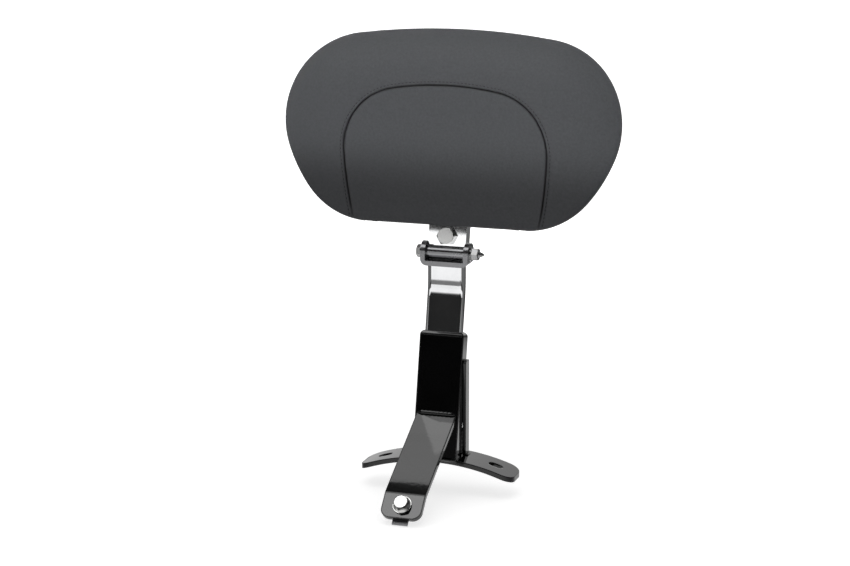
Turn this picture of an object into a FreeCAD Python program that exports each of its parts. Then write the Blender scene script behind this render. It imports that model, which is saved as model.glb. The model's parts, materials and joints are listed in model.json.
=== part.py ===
import FreeCAD, Part
import math
import os

import Sketcher
from FreeCAD import Placement, Rotation, Vector

# Motorcycle driver backrest.
# +Z is up, the padded face looks along -Y at the rider, +X is to the right seen from the front.
# The origin is midway between the two mounting slots, halfway through the base strap's thickness.

os.makedirs("parts", exist_ok=True)
doc = FreeCAD.newDocument("backrest")

# Driving dimensions in millimetres and degrees
sizes = doc.addObject("Spreadsheet::Sheet", "Sizes")
drivingSizes = [
    ("lean", 11.5),
    # base strap, rolled to sit over a fender
    ("strapChord", 156.0),
    ("strapDepth", 38.1),
    ("strapThickness", 4.76),
    ("strapRadius", 207.4),
    ("strapCorner", 12.0),
    ("slotSpacing", 113.0),
    ("slotWidth", 9.0),
    ("slotLength", 14.0),
    # receiver, the upright socket for the post
    ("receiverWidth", 44.45),
    ("receiverWall", 3.05),
    ("receiverLength", 122.0),
    ("receiverFoot", 12.2),
    ("receiverEdge", 1.2),
    ("receiverLip", 4.5),
    # brace on the receiver's right flank
    ("braceDepth", 10.8),
    ("braceThickness", 3.4),
    ("braceHeight", 93.8),
    ("braceSetback", 1.3),
    ("braceCorner", 3.0),
    # front leg with its foot tab
    ("legWidth", 40.0),
    ("legThickness", 4.76),
    ("legHeight", 42.3),
    ("legAngle", 28.0),
    ("legLength", 108.7),
    ("tabAngle", 46.0),
    ("tabLength", 26.5),
    ("tabCorner", 9.0),
    ("legBend", 8.0),
    ("footOffset", 13.0),
    ("footBore", 8.8),
    # foot bolt and its clip nut
    ("footThread", 8.0),
    ("footBoltLength", 20.0),
    ("footHex", 13.0),
    ("footSpin", 17.0),
    ("footHead", 6.4),
    ("flangeDiameter", 18.0),
    ("flangeThickness", 1.6),
    ("clipWidth", 15.5),
    ("clipThickness", 1.6),
    ("clipReach", 4.6),
    ("clipBarrel", 12.0),
    ("clipBarrelLength", 6.0),
    ("clipMargin", 1.0),
    # chrome post
    ("postWidth", 38.1),
    ("postThickness", 9.5),
    ("postEdge", 4.6),
    ("postFit", 0.14),
    ("postStraight", 154.0),
    ("postRest", 1.3),
    ("postBend", 90.0),
    ("postStub", 13.5),
    # saddle that carries the hinge on top of the post
    ("saddleThickness", 4.76),
    ("saddleDepth", 21.3),
    ("saddleBend", 6.5),
    ("pinRise", 12.0),
    ("earPlay", 0.25),
    # hinge pin, bushes and barrel
    ("pinDiameter", 6.35),
    ("pinPlay", 0.05),
    ("pinHex", 11.1),
    ("pinHead", 4.3),
    ("pinNut", 6.6),
    ("pinHeadSpin", 10.0),
    ("pinNutSpin", 22.0),
    ("pinTip", 5.0),
    ("washerDiameter", 14.0),
    ("washerThickness", 1.6),
    ("bushDiameter", 9.5),
    ("barrelDiameter", 12.7),
    # yoke behind the bar, with the height slot
    ("plateThickness", 6.35),
    ("barProud", 2.3),
    ("slideGap", 0.1),
    ("heelGap", 0.35),
    ("yokeTop", 55.0),
    ("yokeCorner", 6.0),
    ("barBottom", 7.2),
    ("barMargin", 16.0),
    ("barCorner", 4.0),
    # clamp bolt that locks the pad's height
    ("clampRise", 16.0),
    ("clampThread", 10.0),
    ("clampPlay", 0.1),
    ("clampHex", 16.0),
    ("clampHead", 6.4),
    ("clampNut", 9.0),
    ("clampWasher", 20.0),
    ("clampTravel", 25.0),
    ("clampTail", 3.0),
    ("clampHeadSpin", 3.0),
    ("clampNutSpin", 12.0),
    # pad shell and cushion
    ("padCentre", 130.5),
    ("padTop", 85.0),
    ("crownRadius", 676.6),
    ("crownSweep", 8.29),
    ("shoulderRadius", 83.4),
    ("shoulderSweep", 102.7),
    ("flankRadius", 153.3),
    ("flankSweep", 17.4),
    ("cornerRadius", 79.0),
    ("cornerSweep", 51.6),
    ("panThickness", 3.0),
    ("panInset", 9.0),
    # how far the cushion's sections stand in front of its back, and how far inside the outline
    ("backRound", 3.0),
    ("rimStart", 4.0),
    ("rimFull", 9.5),
    ("edgeInset", 9.0),
    ("edgeHeight", 17.0),
    ("slopeInset", 24.0),
    ("slopeHeight", 24.5),
    ("crestInset", 42.0),
    ("crestHeight", 30.5),
    ("faceInset", 60.0),
    ("faceHeight", 34.0),
    ("faceTilt", 10.6),
    # sewn arch on the face of the pad
    ("archTop", 28.7),
    ("archRadius", 300.0),
    ("archSweep", 10.0),
    ("archShoulder", 60.0),
    ("archShoulderSweep", 82.3),
    ("archFlank", 380.0),
    ("archFlankSweep", 18.0),
    ("seamWidth", 2.4),
    ("seamDepth", 1.4),
    # screws that hold the shell on the bar
    ("screwThread", 6.0),
    ("screwHead", 11.0),
    ("screwHeadHeight", 3.2),
    ("screwLow", 84.0),
    ("screwHigh", 150.0),
    ("screwSpacing", 19.0),
    ("insertDiameter", 10.0),
    ("insertLength", 6.0),
]
for index, (alias, value) in enumerate(drivingSizes, start=1):
    sizes.set(f"A{index}", alias)
    sizes.set(f"B{index}", str(value))
    sizes.setAlias(f"B{index}", alias)
doc.recompute()


def size(alias):
    return float(sizes.get(alias))


# Heights and places that follow from the driving dimensions
leanAngle = math.radians(size("lean"))
alongLean = Vector(0, math.sin(leanAngle), math.cos(leanAngle))
behindLean = Vector(0, math.cos(leanAngle), -math.sin(leanAngle))
leanTurn = Rotation(Vector(1, 0, 0), -size("lean"))

halfStrap = size("strapThickness") / 2
crownRise = size("strapRadius") - math.sqrt(size("strapRadius") ** 2 - (size("slotSpacing") / 2) ** 2)
strapTop = crownRise + halfStrap
strapAxis = crownRise - size("strapRadius")

postSlot = size("postThickness") + 2 * size("postFit")
receiverDepth = postSlot + 2 * size("receiverWall")
receiverFoot = Vector(0, -size("receiverFoot"), strapTop)
postFoot = receiverFoot + alongLean * size("postRest")
bendStart = postFoot + alongLean * size("postStraight")
bendRise = size("postBend") * math.sin(leanAngle)
bendShift = size("postBend") * (1 - math.cos(leanAngle))
saddleBase = bendStart + Vector(0, bendShift, bendRise + size("postStub"))
pin = saddleBase + Vector(0, 0, size("pinRise"))
hingePlace = Placement(pin, leanTurn)

# Everything on the pin is as wide as the post
earInside = size("postWidth") / 2 + size("earPlay")
earOutside = earInside + size("saddleThickness")


# Building helpers
def bind(item, **expressions):
    for name, expression in expressions.items():
        item.setExpression(name, expression)
    return item


def box(name, length, width, height, corner, turn=Rotation()):
    item = doc.addObject("Part::Box", name)
    bind(item, Length=length, Width=width, Height=height)
    item.Placement = Placement(corner, turn)
    return item


def cylinder(name, radius, height, base, direction=Vector(0, 0, 1)):
    item = doc.addObject("Part::Cylinder", name)
    bind(item, Radius=radius, Height=height)
    item.Placement = Placement(base, Rotation(Vector(0, 0, 1), direction))
    return item


def hexPrism(name, across, height, base, turn):
    item = doc.addObject("Part::Prism", name)
    item.Polygon = 6
    bind(item, Circumradius=f"({across}) / 3 ^ 0.5", Height=height)
    item.Placement = Placement(base, turn)
    return item


def cone(name, lower, upper, height, base, turn):
    item = doc.addObject("Part::Cone", name)
    bind(item, Radius1=lower, Radius2=upper, Height=height)
    item.Placement = Placement(base, turn)
    return item


def combine(kind, name, first, others):
    item = doc.addObject(f"Part::{kind}", name)
    if kind == "Cut":
        item.Base = first
        item.Tool = others
    else:
        item.Shapes = [first] + others
    return item


def cut(name, first, tool):
    return combine("Cut", name, first, tool)


def fuse(name, parts):
    return combine("MultiFuse", name, parts[0], parts[1:])


def common(name, parts):
    return combine("MultiCommon", name, parts[0], parts[1:])


def rounded(name, base, radius, pick):
    doc.recompute()
    item = doc.addObject("Part::Fillet", name)
    item.Base = base
    edges = [number for number, edge in enumerate(base.Shape.Edges, start=1) if pick(edge)]
    item.Edges = [(number, radius, radius) for number in edges]
    return item


def isAlong(edge, direction):
    if not isinstance(edge.Curve, Part.Line):
        return False
    return edge.tangentAt(edge.FirstParameter).cross(direction).Length < 1e-6


def newBody(name):
    return doc.addObject("PartDesign::Body", name)


def planeSketch(body, role, name):
    sketch = body.newObject("Sketcher::SketchObject", name)
    plane = [feature for feature in body.Origin.OriginFeatures if feature.Role == role][0]
    sketch.AttachmentSupport = [(plane, "")]
    sketch.MapMode = "FlatFace"
    return sketch


def place(sketch, geometry, point, across, up):
    for kind, expression in (("DistanceX", across), ("DistanceY", up)):
        value = float(sizes.evalExpression(expression))
        number = sketch.addConstraint(Sketcher.Constraint(kind, -1, 1, geometry, point, value))
        sketch.setExpression(f"Constraints[{number}]", expression)


def polygon(sketch, corners):
    points = [Vector(*[float(sizes.evalExpression(e)) for e in corner], 0) for corner in corners]
    first = sketch.GeometryCount
    for start, end in zip(points, points[1:] + points[:1]):
        sketch.addGeometry(Part.LineSegment(start, end), False)
    for index in range(len(corners)):
        follower = first + (index + 1) % len(corners)
        sketch.addConstraint(Sketcher.Constraint("Coincident", first + index, 2, follower, 1))
    for index, corner in enumerate(corners):
        place(sketch, first + index, 1, *corner)


def circle(sketch, radius, across, up):
    number = sketch.addGeometry(Part.Circle(Vector(0, 0, 0), Vector(0, 0, 1), 1.0), False)
    value = float(sizes.evalExpression(radius))
    constraint = sketch.addConstraint(Sketcher.Constraint("Radius", number, value))
    sketch.setExpression(f"Constraints[{constraint}]", radius)
    place(sketch, number, 3, across, up)


def pad(body, sketch, name, length, midplane=True, reverse=False):
    item = body.newObject("PartDesign::Pad", name)
    item.Profile = sketch
    item.setExpression("Length", length)
    item.Midplane = midplane
    item.Reversed = reverse
    return item


def throughPocket(body, sketch, name):
    item = body.newObject("PartDesign::Pocket", name)
    item.Profile = sketch
    item.Type = "ThroughAll"
    item.Midplane = True
    return item


def bodyFillet(body, base, name, radius, pick):
    doc.recompute()
    numbers = [n for n, edge in enumerate(base.Shape.Edges, start=1) if pick(edge)]
    item = body.newObject("PartDesign::Fillet", name)
    item.Base = (base, [f"Edge{n}" for n in numbers])
    item.setExpression("Radius", radius)
    body.Tip = item
    return item


def shapeFeature(name, shape, placement=Placement()):
    item = doc.addObject("Part::Feature", name)
    item.Shape = shape
    item.Placement = placement
    return item


pieces = {}


def keep(node, item):
    item.Label = node
    pieces[node] = item
    return item


alongX = Vector(1, 0, 0)
alongY = Vector(0, 1, 0)
alongZ = Vector(0, 0, 1)


# Base strap: a flat bar rolled across the fender, with a slot near each end
def baseStrap():
    start = Vector(0, -size("strapDepth") / 2, strapAxis)
    outside = cylinder("StrapOutside", "Sizes.strapRadius + Sizes.strapThickness / 2",
                       "Sizes.strapDepth", start, alongY)
    inside = cylinder("StrapInside", "Sizes.strapRadius - Sizes.strapThickness / 2",
                      "Sizes.strapDepth", start, alongY)
    ring = cut("StrapRing", outside, inside)
    blank = box("StrapBlank", "Sizes.strapChord", "Sizes.strapDepth", "Sizes.strapRadius",
                Vector(-size("strapChord") / 2, -size("strapDepth") / 2, strapTop - size("strapRadius") / 2))
    plan = rounded("StrapPlan", blank, size("strapCorner"), lambda edge: isAlong(edge, alongZ))
    bar = common("StrapBar", [ring, plan])
    slots = []
    for side, label in ((-1, "Left"), (1, "Right")):
        centre = Vector(side * size("slotSpacing") / 2, 0, -size("strapRadius") / 2)
        ends = []
        for end in (-1, 1):
            reach = end * (size("slotLength") - size("slotWidth")) / 2
            ends.append(cylinder(f"Slot{label}End{end + 1}", "Sizes.slotWidth / 2", "Sizes.strapRadius",
                                 centre + Vector(reach, 0, 0)))
        middle = box(f"Slot{label}Middle", "Sizes.slotLength - Sizes.slotWidth", "Sizes.slotWidth",
                     "Sizes.strapRadius",
                     centre - Vector((size("slotLength") - size("slotWidth")) / 2, size("slotWidth") / 2, 0))
        slots.append(fuse(f"Slot{label}", ends + [middle]))
    keep("base_strap", cut("BaseStrap", bar, fuse("Slots", slots)))


def strapBed(name):
    # The strap's upper face as a solid below it, for what is welded on top
    return cylinder(name, "Sizes.strapRadius + Sizes.strapThickness / 2", "4 * Sizes.strapDepth",
                    Vector(0, -2 * size("strapDepth"), strapAxis), alongY)


# Receiver: a leaning rectangular tube, its foot scribed to the strap
def receiverTube():
    below = size("receiverWidth")
    halfWidth = size("receiverWidth") / 2
    corner = receiverFoot - alongLean * below - behindLean * (receiverDepth / 2) - alongX * halfWidth
    outer = box("ReceiverBlank", "Sizes.receiverWidth",
                "Sizes.postThickness + 2 * Sizes.postFit + 2 * Sizes.receiverWall",
                "Sizes.receiverLength + Sizes.receiverWidth", corner, leanTurn)
    edged = rounded("ReceiverEdges", outer, size("receiverEdge"), lambda edge: isAlong(edge, alongLean))

    def isRearLip(edge):
        middle = edge.CenterOfMass - receiverFoot
        high = middle.dot(alongLean) > size("receiverLength") - 1e-3
        return high and middle.dot(behindLean) > receiverDepth / 2 - 1e-3

    lipped = rounded("ReceiverLip", edged, size("receiverLip"), isRearLip)
    hollow = box("ReceiverSocket", "Sizes.receiverWidth - 2 * Sizes.receiverWall",
                 "Sizes.postThickness + 2 * Sizes.postFit", "Sizes.receiverLength + 3 * Sizes.receiverWidth",
                 corner - alongLean * below + alongX * size("receiverWall")
                 + behindLean * size("receiverWall"), leanTurn)
    tube = cut("ReceiverHollow", lipped, hollow)
    keep("receiver_tube", cut("ReceiverTube", tube, strapBed("ReceiverBed")))


# Side brace: an upright flat bar from the strap to the receiver's right flank
def sideBrace():
    bottom = Vector(size("receiverWidth") / 2, size("braceSetback"), 0)
    blank = box("BraceBlank", "Sizes.braceThickness", "Sizes.braceDepth",
                "Sizes.braceHeight", bottom)
    blank.setExpression("Height", f"Sizes.braceHeight + {strapTop}")

    def isFrontTop(edge):
        return isAlong(edge, alongX) and edge.CenterOfMass.z > size("braceHeight")

    tall = rounded("BraceCorner", blank, size("braceCorner"), isFrontTop)
    keep("side_brace", cut("SideBrace", tall, strapBed("BraceBed")))


# Front leg: a flat bar welded to the receiver's face, bent into the foot tab
legDown = math.radians(size("legAngle"))
tabDown = math.radians(size("tabAngle"))
receiverFace = receiverFoot - behindLean * (receiverDepth / 2)
legTop = receiverFace + alongLean * ((size("legHeight") + strapTop - receiverFace.z) / math.cos(leanAngle))
legAxis = Vector(0, -math.cos(legDown), -math.sin(legDown))
tabAxis = Vector(0, -math.cos(tabDown), -math.sin(tabDown))
tabNormal = Vector(0, -math.sin(tabDown), math.cos(tabDown))
legBendPoint = legTop + legAxis * size("legLength")
footCentre = legBendPoint + tabAxis * size("footOffset")


def frontLeg():
    # The profile is drawn from the welded end, in the leg's own side plane
    body = newBody("LegBar")
    sketch = planeSketch(body, "YZ_Plane", "LegProfile")
    bend = ("-Sizes.legLength * cos(Sizes.legAngle)", "-Sizes.legLength * sin(Sizes.legAngle)")
    tab = (f"{bend[0]} - Sizes.tabLength * cos(Sizes.tabAngle)",
           f"{bend[1]} - Sizes.tabLength * sin(Sizes.tabAngle)")
    half = "(Sizes.legAngle + Sizes.tabAngle) / 2"
    miter = "Sizes.legThickness / cos((Sizes.tabAngle - Sizes.legAngle) / 2)"
    inner = (f"{bend[0]} + {miter} * sin({half})", f"{bend[1]} - {miter} * cos({half})")
    tabInner = (f"{tab[0]} + Sizes.legThickness * sin(Sizes.tabAngle)",
                f"{tab[1]} - Sizes.legThickness * cos(Sizes.tabAngle)")
    root = ("Sizes.receiverWall", "Sizes.receiverWall * tan(Sizes.legAngle)")
    rootInner = (f"{root[0]} + Sizes.legThickness * sin(Sizes.legAngle)",
                 f"{root[1]} - Sizes.legThickness * cos(Sizes.legAngle)")
    polygon(sketch, [root, bend, tab, tabInner, inner, rootInner])
    bar = pad(body, sketch, "LegPad", "Sizes.legWidth")
    tabEdge = Vector(0, -math.sin(tabDown), math.cos(tabDown))
    low = -size("legLength") * math.sin(legDown)

    def isTabCorner(edge):
        return isAlong(edge, tabEdge) and edge.CenterOfMass.z < low

    corners = bodyFillet(body, bar, "TabCorners", "Sizes.tabCorner", isTabCorner)

    def isBend(edge):
        return isAlong(edge, alongX) and abs(edge.CenterOfMass.z - low) < size("legThickness") * 1.2 \
            and edge.CenterOfMass.y > -size("legLength") * math.cos(legDown) - 1

    bodyFillet(body, corners, "LegBend", "Sizes.legBend", isBend)
    body.Placement = Placement(legTop, Rotation())
    bore = cylinder("FootBore", "Sizes.footBore / 2", "6 * Sizes.legThickness",
                    footCentre - tabNormal * (3 * size("legThickness")), tabNormal)
    bored = cut("LegBored", body, bore)
    # The root is cut back to the receiver's face
    far = 3 * size("receiverWidth")
    face = box("ReceiverFaceTool", "6 * Sizes.receiverWidth", "6 * Sizes.receiverWidth",
               "6 * Sizes.receiverWidth", receiverFace - alongX * far - alongLean * far, leanTurn)
    keep("front_leg", cut("FrontLeg", bored, face))


# Hexagon fasteners, drawn along +Z from the bearing face and then turned into place
def hexHead(name, across, height, base, turn):
    prism = hexPrism(f"{name}Hex", across, height, base, turn)
    chamfer = cone(f"{name}Chamfer", f"({across}) * 0.475 + ({height}) * 1.8", f"({across}) * 0.475",
                   height, base, turn)
    return common(f"{name}Head", [prism, chamfer])


def alongTurn(direction, spin=0.0):
    return Rotation(alongZ, direction).multiply(Rotation(alongZ, spin))


def footBolt():
    turn = alongTurn(tabNormal, size("footSpin"))
    flange = cylinder("FootFlange", "Sizes.flangeDiameter / 2", "Sizes.flangeThickness", footCentre, tabNormal)
    collar = cone("FootCollar", "Sizes.flangeDiameter / 2 - 0.6", "Sizes.footHex / 2",
                  "Sizes.flangeThickness", footCentre + tabNormal * size("flangeThickness"), turn)
    head = hexHead("Foot", "Sizes.footHex", "Sizes.footHead",
                   footCentre + tabNormal * size("flangeThickness"), turn)
    shank = cylinder("FootShank", "Sizes.footThread / 2", "Sizes.footBoltLength",
                     footCentre - tabNormal * size("footBoltLength"), tabNormal)
    keep("foot_bolt", fuse("FootBolt", [flange, collar, head, shank]))


def clipNut():
    # A flat clip behind the tab whose tongue shows below it
    thickness = size("clipThickness")
    back = footCentre - tabNormal * (size("legThickness") + thickness)
    reach = size("tabLength") - size("footOffset") + size("clipReach")
    turn = Rotation(alongX, tabAxis * -1, tabNormal, "ZXY")
    plate = doc.addObject("Part::Box", "ClipPlate")
    bind(plate, Length="Sizes.clipWidth", Height="Sizes.clipThickness",
         Width="Sizes.tabLength - Sizes.footOffset + Sizes.clipReach + Sizes.clipBarrel / 2 + Sizes.clipMargin")
    plate.Placement = Placement(back + tabAxis * reach - alongX * size("clipWidth") / 2, turn)
    barrel = cylinder("ClipBarrel", "Sizes.clipBarrel / 2", "Sizes.clipBarrelLength",
                      back - tabNormal * size("clipBarrelLength"), tabNormal)
    bore = cylinder("ClipBore", "Sizes.footThread / 2", "Sizes.clipBarrelLength + 3 * Sizes.clipThickness",
                    back - tabNormal * (size("clipBarrelLength") + thickness), tabNormal)
    keep("clip_nut", cut("ClipNut", fuse("ClipBlank", [plate, barrel]), bore))


# Post: a straight flat bar in the receiver, bent upright under the saddle
def postBar():
    halfWidth = size("postWidth") / 2
    halfThickness = size("postThickness") / 2
    edge = size("postEdge")
    section = []
    centres = [(halfWidth - edge, halfThickness - edge), (edge - halfWidth, halfThickness - edge),
               (edge - halfWidth, edge - halfThickness), (halfWidth - edge, edge - halfThickness)]

    def spot(across, back):
        return postFoot + alongX * across + behindLean * back

    for quarter, (across, back) in enumerate(centres):
        begin = math.radians(90 * quarter)
        points = [spot(across + edge * math.cos(begin + turn), back + edge * math.sin(begin + turn))
                  for turn in (0, math.pi / 4, math.pi / 2)]
        if section:
            section.append(Part.LineSegment(section[-1].EndPoint, points[0]))
        section.append(Part.Arc(*points))
    section.append(Part.LineSegment(section[-1].EndPoint, section[0].StartPoint))
    profile = Part.Wire([curve.toShape() for curve in section])
    half = leanAngle / 2
    bendMiddle = bendStart + Vector(0, size("postBend") * (math.cos(half) - math.cos(leanAngle)),
                                    size("postBend") * (math.sin(leanAngle) - math.sin(half)))
    bendEnd = bendStart + Vector(0, bendShift, bendRise)
    path = Part.Wire([Part.LineSegment(postFoot, bendStart).toShape(),
                      Part.Arc(bendStart, bendMiddle, bendEnd).toShape(),
                      Part.LineSegment(bendEnd, saddleBase).toShape()])
    keep("post_bar", shapeFeature("PostBar", path.makePipeShell([profile], True, False)))


# Saddle: a U of flat bar on the post, its ears rounded about the pin
def hingeSaddle():
    body = newBody("SaddleBar")
    sketch = planeSketch(body, "XZ_Plane", "SaddleProfile")
    inner = "Sizes.postWidth / 2 + Sizes.earPlay"
    outer = "Sizes.postWidth / 2 + Sizes.earPlay + Sizes.saddleThickness"
    top = "Sizes.pinRise + Sizes.saddleDepth / 2"
    web = "Sizes.saddleThickness"
    polygon(sketch, [(f"-({outer})", "0"), (outer, "0"), (outer, top), (inner, top), (inner, web),
                     (f"-({inner})", web), (f"-({inner})", top), (f"-({outer})", top)])
    bar = pad(body, sketch, "SaddlePad", "Sizes.saddleDepth")

    def isOuterBend(edge):
        return isAlong(edge, alongY) and abs(edge.CenterOfMass.z) < 1e-3

    bends = bodyFillet(body, bar, "SaddleBends", "Sizes.saddleBend", isOuterBend)

    def isEarTop(edge):
        return isAlong(edge, alongX) and edge.CenterOfMass.z > size("pinRise")

    earRadius = "Sizes.saddleDepth / 2 - 0.01"
    bodyFillet(body, bends, "EarTops", earRadius, isEarTop)
    body.Placement = Placement(saddleBase, Rotation())
    bore = cylinder("EarBore", "Sizes.pinDiameter / 2 + Sizes.pinPlay", "4 * Sizes.postWidth",
                    pin - alongX * (2 * size("postWidth")), alongX)
    keep("hinge_saddle", cut("HingeSaddle", body, bore))


# Hinge pin: a bolt from the left, with washers, a lock nut and two bushes in the barrel
def hingePin():
    headFace = pin - alongX * (earOutside + size("washerThickness"))
    nutFace = pin + alongX * (earOutside + size("washerThickness"))
    earSpan = ("2 * (Sizes.postWidth / 2 + Sizes.earPlay + Sizes.saddleThickness"
               " + Sizes.washerThickness) + Sizes.pinNut")
    shank = cylinder("PinShank", "Sizes.pinDiameter / 2", earSpan, headFace, alongX)
    tipFace = nutFace + alongX * size("pinNut")
    tip = cone("PinTip", "Sizes.pinDiameter / 2", "Sizes.pinDiameter / 5", "Sizes.pinTip",
               tipFace, alongTurn(alongX))
    head = hexHead("Pin", "Sizes.pinHex", "Sizes.pinHead", headFace, alongTurn(alongX * -1, size("pinHeadSpin")))
    keep("pivot_bolt", fuse("PivotBolt", [shank, tip, head]))

    washers = []
    for side, label in ((-1, "Left"), (1, "Right")):
        inside = pin + alongX * (side * earOutside)
        disc = cylinder(f"Washer{label}", "Sizes.washerDiameter / 2", "Sizes.washerThickness",
                        inside, alongX * side)
        hole = cylinder(f"Washer{label}Bore", "Sizes.pinDiameter / 2 + Sizes.pinPlay",
                        "Sizes.washerThickness", inside, alongX * side)
        washers.append(cut(f"Washer{label}Ring", disc, hole))
    keep("pivot_washers", fuse("PivotWashers", washers))

    nutTurn = alongTurn(alongX, size("pinNutSpin"))
    nutBody = hexHead("PinNutBody", "Sizes.pinHex", "Sizes.pinNut", nutFace, nutTurn)
    nutBore = cylinder("PinNutBore", "Sizes.pinDiameter / 2", "Sizes.pinNut", nutFace, alongX)
    keep("pivot_lock_nut", cut("PivotLockNut", nutBody, nutBore))

    bushes = []
    for side, label in ((-1, "Left"), (1, "Right")):
        sleeve = cylinder(f"Bush{label}", "Sizes.bushDiameter / 2", "Sizes.postWidth / 2 - Sizes.earPlay",
                          pin + alongX * (side * size("earPlay")), alongX * side)
        hole = cylinder(f"Bush{label}Bore", "Sizes.pinDiameter / 2 + Sizes.pinPlay",
                        "Sizes.postWidth / 2", pin, alongX * side)
        bushes.append(cut(f"Bush{label}Sleeve", sleeve, hole))
    keep("pivot_bushes", fuse("PivotBushes", bushes))

    outside = cylinder("BarrelOutside", "Sizes.barrelDiameter / 2", "Sizes.postWidth",
                       pin - alongX * (size("postWidth") / 2), alongX)
    inside = cylinder("BarrelInside", "Sizes.bushDiameter / 2", "Sizes.postWidth",
                      pin - alongX * (size("postWidth") / 2), alongX)
    keep("hinge_barrel", cut("HingeBarrel", outside, inside))


# Plates and pad are drawn upright about the pin and then leaned back with hingePlace
barFront = -size("barProud")
barBack = barFront + size("plateThickness")
yokeFront = barBack + size("slideGap")
yokeBack = yokeFront + size("plateThickness")


def yokePlate():
    # Its heel stands on the saddle's web and stops the pad leaning further back
    body = newBody("YokeBar")
    sketch = planeSketch(body, "XZ_Plane", "YokeProfile")
    half = "Sizes.postWidth / 2"
    back = "(Sizes.slideGap + 2 * Sizes.plateThickness - Sizes.barProud) * sin(Sizes.lean)"
    heel = f"({back} + Sizes.saddleThickness + Sizes.heelGap - Sizes.pinRise) / cos(Sizes.lean)"
    polygon(sketch, [(f"-{half}", heel), (half, heel), (half, "Sizes.yokeTop"), (f"-{half}", "Sizes.yokeTop")])
    plate = pad(body, sketch, "YokePad", "Sizes.plateThickness", midplane=False, reverse=True)

    def isTopCorner(edge):
        return isAlong(edge, alongY) and edge.CenterOfMass.z > size("clampRise")

    bodyFillet(body, plate, "YokeCorners", "Sizes.yokeCorner", isTopCorner)
    slot = planeSketch(body, "XZ_Plane", "HeightSlot")
    reach = "Sizes.clampThread / 2 + Sizes.clampPlay"
    polygon(slot, [(f"-({reach})", "Sizes.clampRise"), (reach, "Sizes.clampRise"),
                   (reach, "Sizes.clampRise + Sizes.clampTravel"),
                   (f"-({reach})", "Sizes.clampRise + Sizes.clampTravel")])
    throughPocket(body, slot, "HeightSlotCut")
    body.Placement = Placement(pin + behindLean * yokeFront, leanTurn)
    ends = []
    for index, lift in enumerate((0, size("clampTravel"))):
        centre = pin + alongLean * (size("clampRise") + lift) + behindLean * barBack
        ends.append(cylinder(f"SlotEnd{index}", "Sizes.clampThread / 2 + Sizes.clampPlay",
                             "2 * Sizes.plateThickness", centre, behindLean))
    slotted = cut("YokeSlotted", body, fuse("SlotEnds", ends))
    # The plate is coped round the barrel that it is welded to
    barrel = cylinder("BarrelCope", "Sizes.barrelDiameter / 2", "2 * Sizes.postWidth",
                      pin - alongX * size("postWidth"), alongX)
    keep("yoke_plate", cut("YokePlate", slotted, barrel))


def heightBar():
    # The pad's bar slides on the front of the yoke plate
    body = newBody("PadBar")
    sketch = planeSketch(body, "XZ_Plane", "BarProfile")
    half = "Sizes.postWidth / 2"
    top = "Sizes.screwHigh + Sizes.barMargin"
    polygon(sketch, [(f"-{half}", "Sizes.barBottom"), (half, "Sizes.barBottom"), (half, top), (f"-{half}", top)])
    circle(sketch, "Sizes.clampThread / 2 + Sizes.clampPlay", "0", "Sizes.clampRise")
    for side in (-1, 1):
        for rise in ("Sizes.screwLow", "Sizes.screwHigh"):
            circle(sketch, "Sizes.screwThread / 2 + Sizes.clampPlay",
                   f"{side} * Sizes.screwSpacing / 2", rise)
    plate = pad(body, sketch, "BarPad", "Sizes.plateThickness", midplane=False, reverse=True)

    def isTopCorner(edge):
        return isAlong(edge, alongY) and edge.CenterOfMass.z > size("screwHigh")

    bodyFillet(body, plate, "BarCorners", "Sizes.barCorner", isTopCorner)
    body.Placement = Placement(pin + behindLean * barFront, leanTurn)
    keep("height_bar", body)


def clampBolt():
    axis = pin + alongLean * size("clampRise")
    face = axis + behindLean * barFront
    forward = behindLean * -1
    rear = axis + behindLean * (yokeBack + size("slideGap"))
    head = hexHead("Clamp", "Sizes.clampHex", "Sizes.clampHead", face,
                   alongTurn(forward, size("clampHeadSpin")))
    grip = ("2 * Sizes.plateThickness + Sizes.slideGap + Sizes.washerThickness + Sizes.clampNut"
            " + Sizes.clampTail")
    shank = cylinder("ClampShank", "Sizes.clampThread / 2", grip, face, behindLean)
    keep("clamp_bolt", fuse("ClampBolt", [head, shank]))
    disc = cylinder("ClampDisc", "Sizes.clampWasher / 2", "Sizes.washerThickness", rear, behindLean)
    discBore = cylinder("ClampDiscBore", "Sizes.clampThread / 2 + Sizes.clampPlay", "Sizes.washerThickness",
                        rear, behindLean)
    keep("clamp_washer", cut("ClampWasher", disc, discBore))
    seat = rear + behindLean * size("washerThickness")
    nutTurn = alongTurn(behindLean, size("clampNutSpin"))
    nut = hexHead("ClampNutBody", "Sizes.clampHex", "Sizes.clampNut", seat, nutTurn)
    nutBore = cylinder("ClampNutBore", "Sizes.clampThread / 2", "Sizes.clampNut", seat, behindLean)
    keep("clamp_nut", cut("ClampNut", nut, nutBore))


# Outlines made of tangent arcs, from the top centre round the right side
def arcChain(start, arcs):
    point = Vector(start)
    heading = 0.0
    chain = []
    for radius, sweep in arcs:
        turn = math.radians(sweep)
        centre = point - Vector(math.sin(heading), 0, math.cos(heading)) * radius

        def on(angle):
            return centre + Vector(math.sin(angle), 0, math.cos(angle)) * radius

        chain.append((point, on(heading + turn / 2), on(heading + turn)))
        point = on(heading + turn)
        heading += turn
    return chain


def mirrored(chain):
    return [tuple(Vector(-p.x, p.y, p.z) for p in reversed(arc)) for arc in reversed(chain)]


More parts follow.
